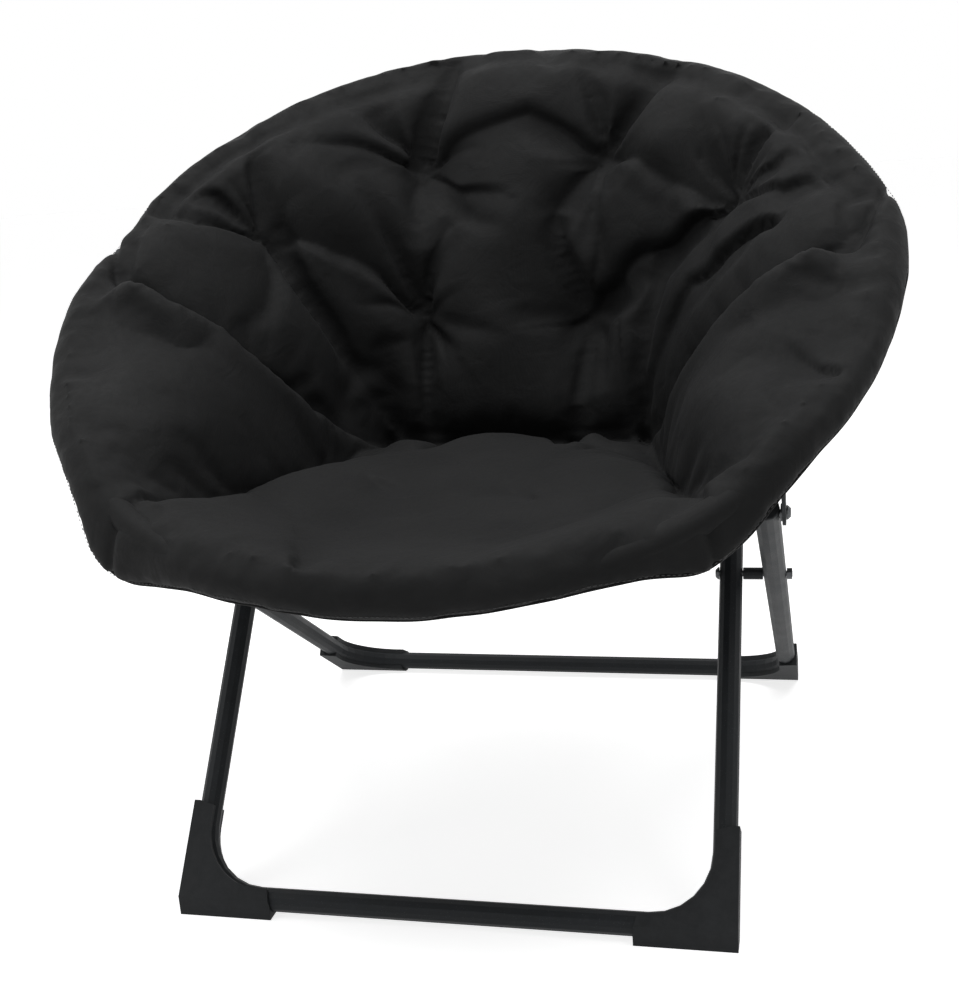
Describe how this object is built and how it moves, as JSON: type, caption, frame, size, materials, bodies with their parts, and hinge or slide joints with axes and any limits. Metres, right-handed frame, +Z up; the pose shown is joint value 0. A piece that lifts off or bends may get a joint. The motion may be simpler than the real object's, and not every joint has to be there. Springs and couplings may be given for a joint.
{
  "type": "folding saucer chair",
  "caption": "Folding saucer chair: a padded round bowl of fabric on a hinged ring, carried by crossing U legs with plastic corner feet.",
  "frame": {"origin": "on the floor under the middle of the chair's box", "axes": "+X to the right as seen from the front, -Y the way the sitter faces, +Z up; left and right in the names are as seen from the front"},
  "size_m": [0.824, 0.7406, 0.7879],
  "materials": {
    "black_paint": "black powder coat, fine speckle, satin",
    "black_plastic": "black moulded plastic, matte",
    "dark_zinc": "dark zinc-plated steel",
    "black_fabric": "black woven polyester, soft satin sheen"
  },
  "bodies": {
    "outer_leg": {"outer_leg_frame": "black_paint", "rear_foot_right": "black_plastic", "rear_foot_left": "black_plastic", "outer_leg_plug_right": "black_plastic", "outer_leg_plug_left": "black_plastic", "cross_bolt_right": "dark_zinc", "cross_bolt_left": "dark_zinc", "cross_sleeve_right": "black_paint", "cross_sleeve_left": "black_paint", "cross_nut_right": "dark_zinc", "cross_nut_left": "dark_zinc", "front_tab_bolt_right": "dark_zinc", "front_tab_bolt_left": "dark_zinc", "front_tab_washer_right": "dark_zinc", "front_tab_washer_left": "dark_zinc", "front_tab_nut_right": "dark_zinc", "front_tab_nut_left": "dark_zinc"},
    "inner_leg": {"inner_leg_frame": "black_paint", "front_foot_right": "black_plastic", "front_foot_left": "black_plastic", "inner_leg_plug_right": "black_plastic", "inner_leg_plug_left": "black_plastic", "rear_pivot_stud_right": "dark_zinc", "rear_pivot_stud_left": "dark_zinc", "rear_pivot_washer_right": "dark_zinc", "rear_pivot_washer_left": "dark_zinc"},
    "front_half": {"front_tab_right": "black_paint", "front_tab_left": "black_paint", "front_ring_tube": "black_paint", "hinge_leaf_front_right": "black_paint", "hinge_leaf_front_left": "black_paint", "hinge_pin_right": "dark_zinc", "hinge_pin_left": "dark_zinc", "cover_seat_panel": "black_fabric", "cover_lower_back_panel": "black_fabric", "cover_side_panel_right": "black_fabric", "cover_side_panel_left": "black_fabric"},
    "rear_half": {"rear_tab_right": "black_paint", "rear_tab_left": "black_paint", "rear_tab_bolt_right": "dark_zinc", "rear_tab_bolt_left": "dark_zinc", "rear_ring_tube": "black_paint", "hinge_leaf_rear_right": "black_paint", "hinge_leaf_rear_left": "black_paint", "cover_back_panel": "black_fabric"}
  },
  "joints": [
    {"name": "leg_cross", "type": "hinge", "parent": "outer_leg", "child": "inner_leg", "pos_m": [0, -0.02481, 0.27099], "axis": [1, 0, 0], "range_deg": [0, 75]},
    {"name": "front_half_pivot", "type": "hinge", "parent": "outer_leg", "child": "front_half", "pos_m": [0, -0.18618, 0.37957], "axis": [1, 0, 0], "range_deg": [0, 89.44]},
    {"name": "ring_hinge", "type": "hinge", "parent": "front_half", "child": "rear_half", "pos_m": [0, 0.07179, 0.6119], "axis": [1, 0, 0], "range_deg": [-133.53, 0], "deforming": ["cover_seat_panel", "cover_lower_back_panel", "cover_side_panel_right", "cover_side_panel_left", "cover_back_panel"]}
  ],
  "couplings": [
    {"joint": "front_half_pivot", "follows": "leg_cross", "ratio": 1.1925},
    {"joint": "ring_hinge", "follows": "leg_cross", "ratio": -1.7804}
  ]
}
